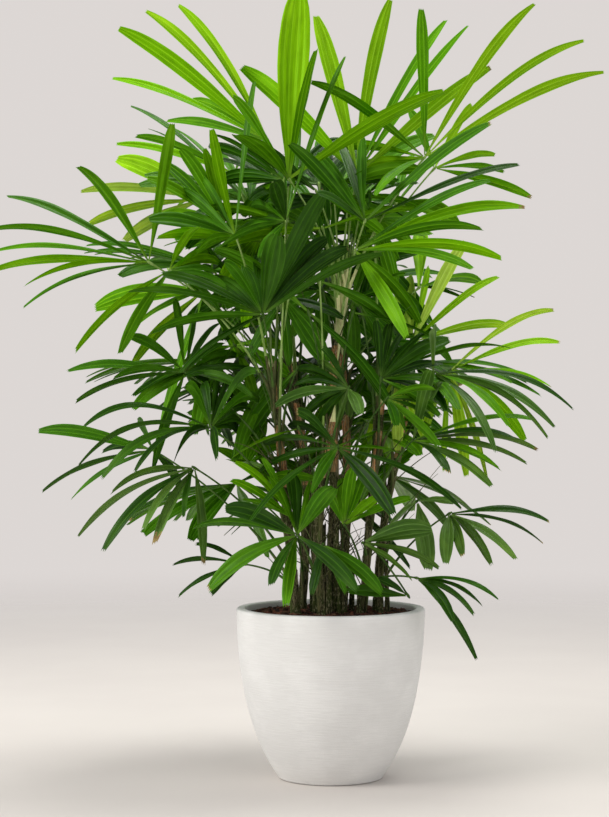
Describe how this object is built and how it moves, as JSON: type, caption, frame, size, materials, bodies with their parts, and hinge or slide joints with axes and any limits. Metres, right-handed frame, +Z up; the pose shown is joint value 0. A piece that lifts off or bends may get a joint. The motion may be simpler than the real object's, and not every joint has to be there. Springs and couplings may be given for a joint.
{
  "type": "potted lady palm",
  "caption": "Bushy lady palm with slender fibrous canes and fan-shaped fronds, growing in a round tapered pale pot topped with bark mulch; an indoor floor plant.",
  "frame": {"origin": "centre of the pot's flat underside", "axes": "+Z up along the canes, -Y towards the front of the plant, +X to its right seen from the front"},
  "size_m": [1.0504, 0.7481, 1.3274],
  "materials": {
    "pot": "matt off-white with fine combed lines",
    "mulch": "dark red-brown bark mulch",
    "cane": "brown fibrous sheaths",
    "frond_young": "bright yellow-green, satin",
    "frond_mature": "mid green, satin gloss",
    "frond_old": "deep green, satin gloss"
  },
  "bodies": {
    "root": {"cane_back": "cane", "cane_back_left": "cane", "cane_centre": "cane", "cane_front": "cane", "cane_left": "cane", "cane_left_back": "cane", "cane_right": "cane", "cane_right_outer": "cane", "frond_back_high_1": "frond_young", "frond_back_high_2": "frond_young", "frond_back_high_3": "frond_young", "frond_back_low_1": "frond_old", "frond_back_low_2": "frond_old", "frond_back_low_3": "frond_old", "frond_back_middle_1": "frond_mature", "frond_back_middle_2": "frond_mature", "frond_back_middle_3": "frond_mature", "frond_back_middle_4": "frond_mature", "frond_back_upper_1": "frond_mature", "frond_back_upper_2": "frond_mature", "frond_back_upper_3": "frond_mature", "frond_back_upper_4": "frond_mature", "frond_left_arch": "frond_old", "frond_left_high": "frond_mature", "frond_left_low_broad": "frond_mature", "frond_left_middle": "frond_old", "frond_left_pale": "frond_young", "frond_left_star": "frond_mature", "frond_left_star_inner": "frond_mature", "frond_left_upper_back": "frond_mature", "frond_low_bright": "frond_young", "frond_low_left": "frond_old", "frond_low_left_star": "frond_mature", "frond_low_middle": "frond_mature", "frond_low_middle_back": "frond_old", "frond_low_middle_high": "frond_old", "frond_low_right": "frond_mature", "frond_low_right_broad": "frond_old", "frond_low_right_ribbed": "frond_old", "frond_low_right_star": "frond_old", "frond_middle_arch": "frond_mature", "frond_middle_dark": "frond_old", "frond_middle_high": "frond_mature", "frond_middle_short": "frond_mature", "frond_right_arch": "frond_old", "frond_right_dark": "frond_old", "frond_right_hanging": "frond_mature", "frond_right_high": "frond_mature", "frond_right_high_back": "frond_young", "frond_right_low_fan": "frond_old", "frond_right_pale": "frond_young", "frond_right_pale_low": "frond_young", "frond_right_upper": "frond_mature", "frond_top_left": "frond_young", "frond_top_middle": "frond_young", "frond_top_right": "frond_young", "frond_top_tall": "frond_young", "pot": "pot", "soil": "mulch"}
  },
  "joints": []
}
